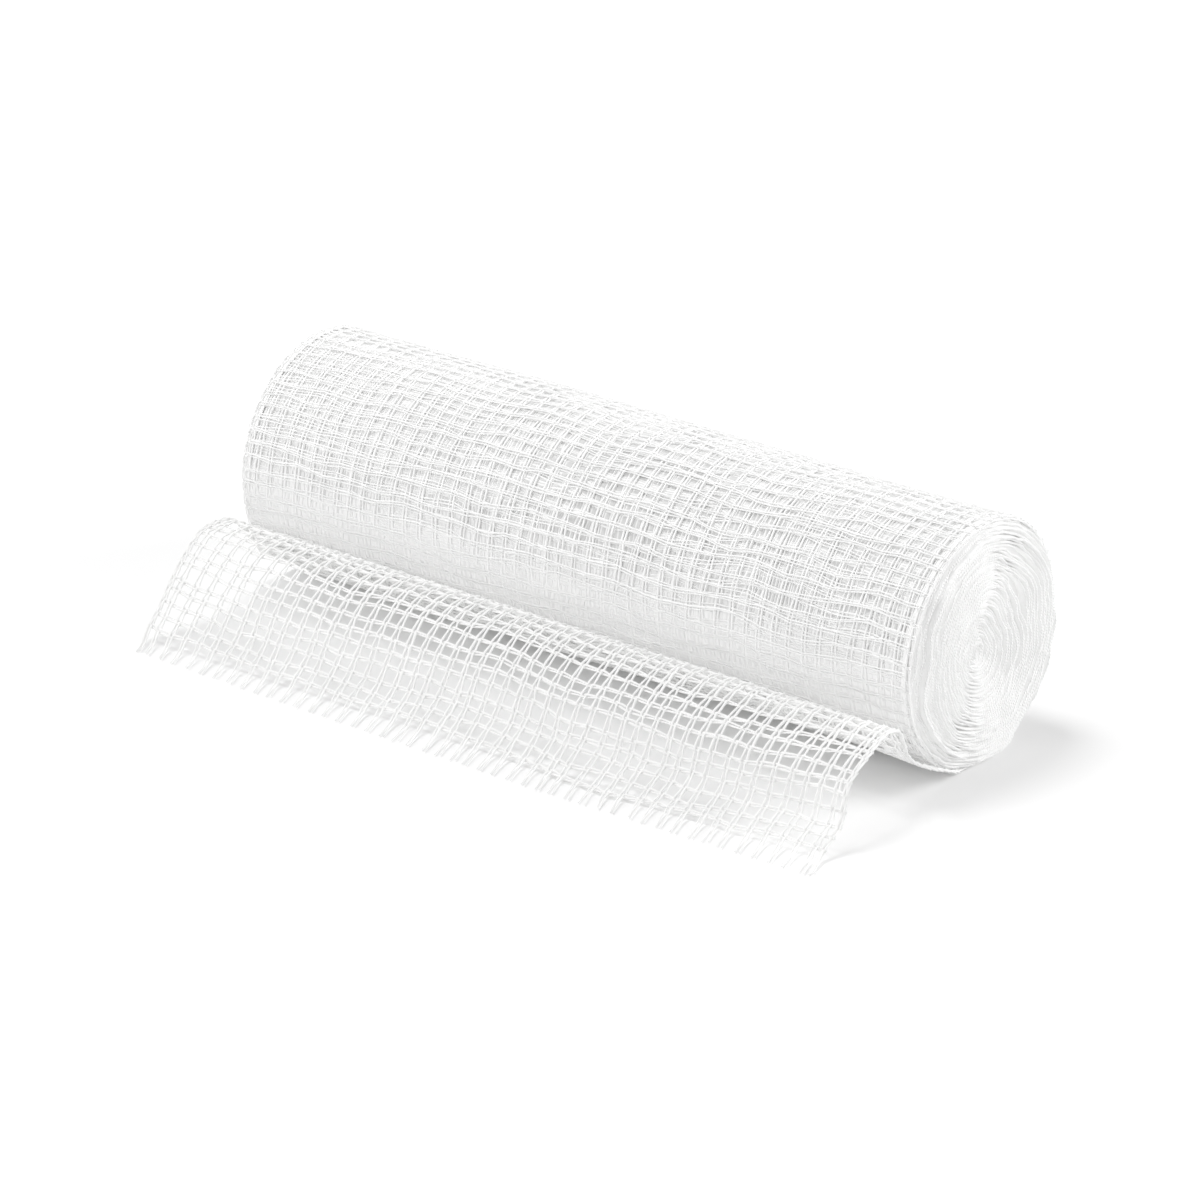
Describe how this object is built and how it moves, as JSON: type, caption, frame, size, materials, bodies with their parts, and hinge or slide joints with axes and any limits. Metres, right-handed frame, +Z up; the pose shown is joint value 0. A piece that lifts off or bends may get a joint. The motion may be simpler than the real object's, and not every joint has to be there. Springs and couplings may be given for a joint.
{
  "type": "gauze bandage roll",
  "caption": "Wound roll of open-weave cotton gauze bandage lying on its side, with its outer end lifted off in a low hump and laid on the surface in front.",
  "frame": {"origin": "on the surface that the roll lies on, at the middle of the flat spot under the roll, halfway along its width", "axes": "+X along the roll's axis towards the end seen on the right, -Y towards the loose end, +Z up"},
  "size_m": [0.1, 0.0519, 0.03],
  "materials": {
    "cotton_gauze": "matt bleached cotton"
  },
  "bodies": {
    "root": {"gauze_strip": "cotton_gauze"}
  },
  "joints": []
}
